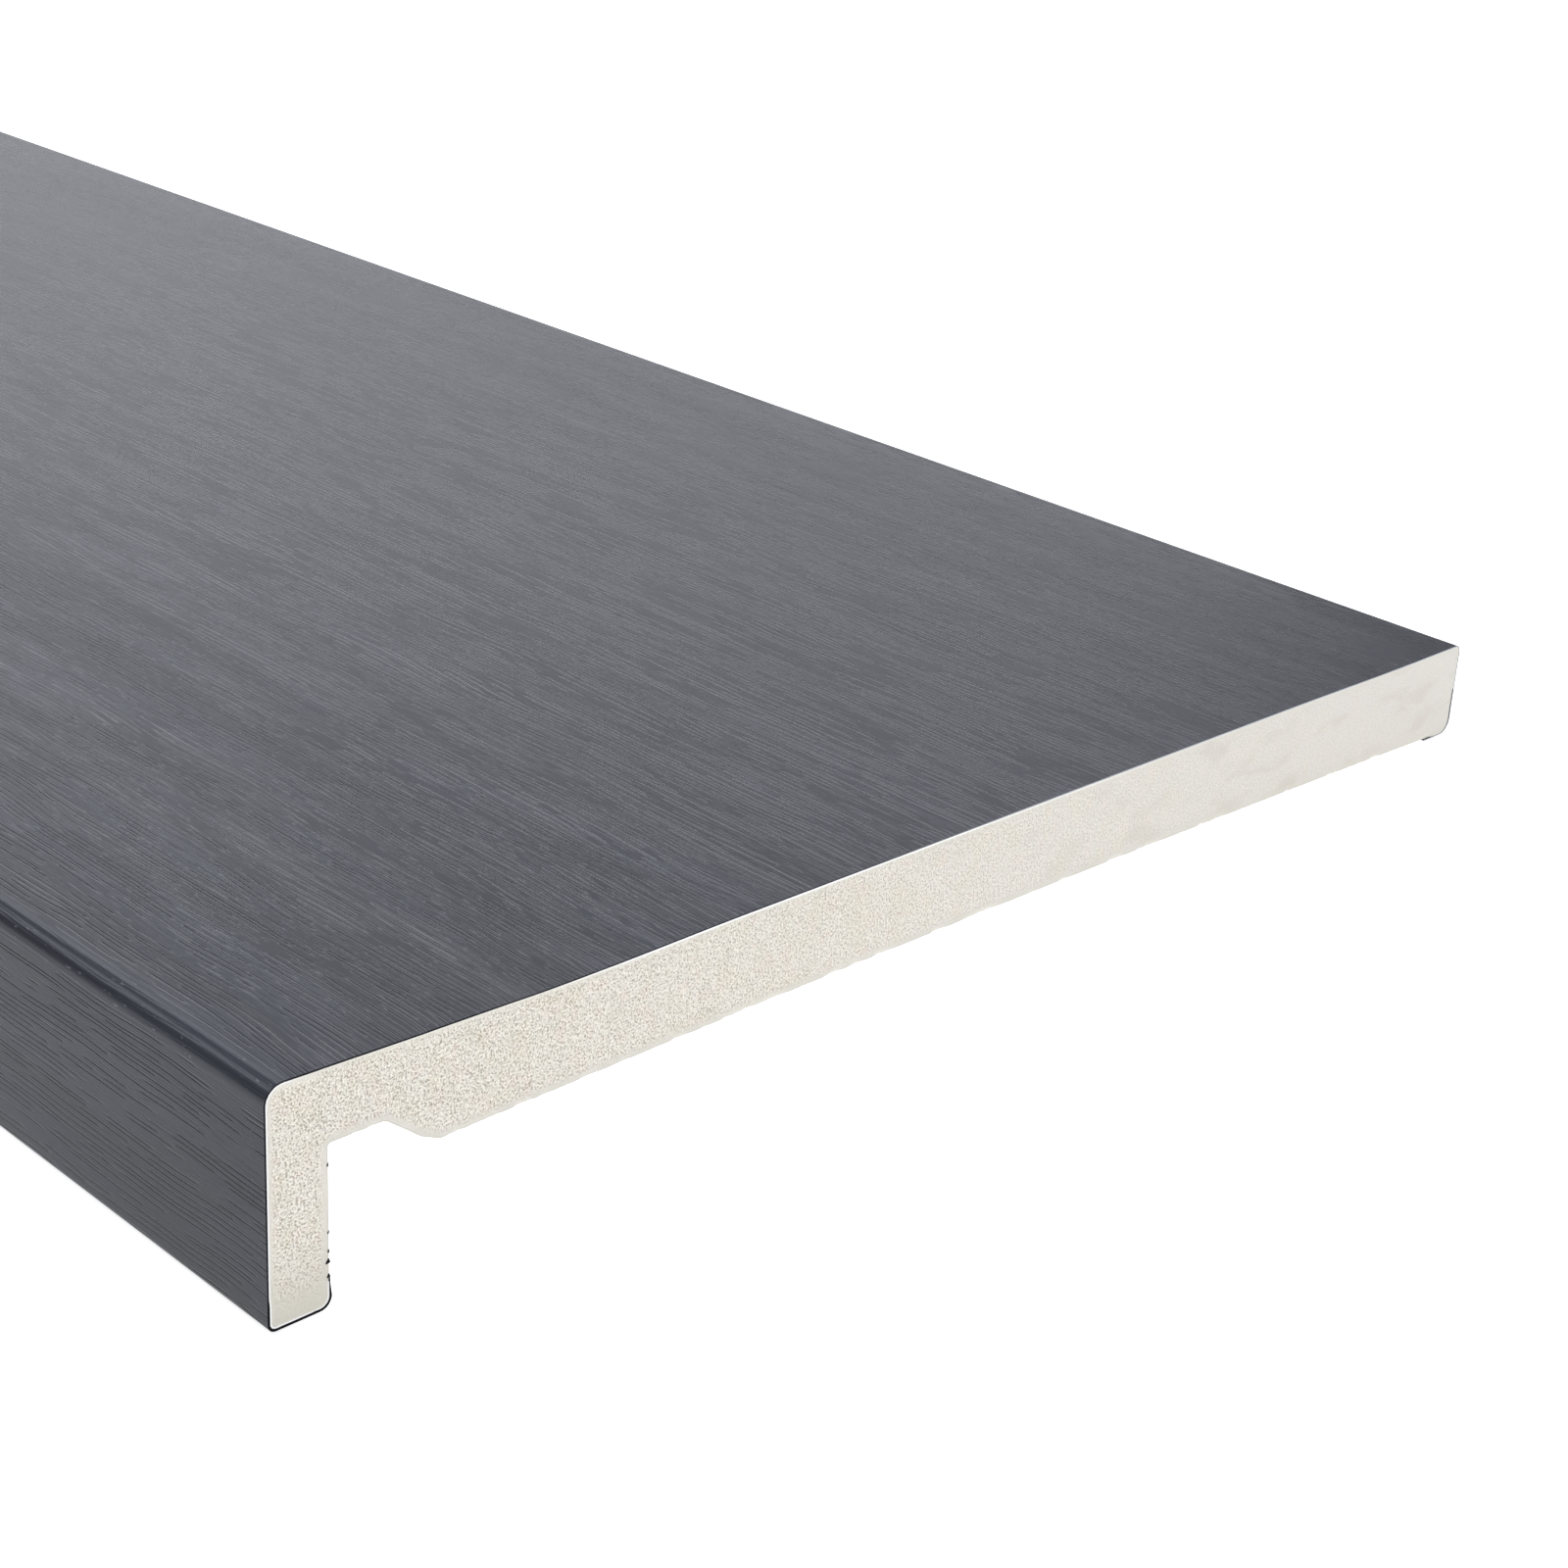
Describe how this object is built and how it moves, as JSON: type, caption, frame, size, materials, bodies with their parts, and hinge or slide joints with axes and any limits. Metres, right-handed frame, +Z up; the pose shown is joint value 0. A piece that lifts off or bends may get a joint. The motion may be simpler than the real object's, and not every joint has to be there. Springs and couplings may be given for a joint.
{
  "type": "fascia board",
  "caption": "L-shaped replacement fascia board of foamed PVC with an anthracite woodgrain foil, and a recess behind its leg for the soffit board.",
  "frame": {"origin": "centre of the board's box, on the floor that it lies on", "axes": "+X along the board, +Y from the leg to the back edge, +Z up; the board lies on its toe and its back edge, so its section is tipped 4.24 degrees about X"},
  "size_m": [2.5, 0.302, 0.0424],
  "materials": {
    "foamed_pvc": "white to cream foamed PVC: smooth skin on its sides, fine open cells on its sawn ends",
    "anthracite_foil": "anthracite grey foil with a fine embossed woodgrain along its length, satin"
  },
  "bodies": {
    "root": {"foam_board": "foamed_pvc", "woodgrain_foil": "anthracite_foil"}
  },
  "joints": []
}
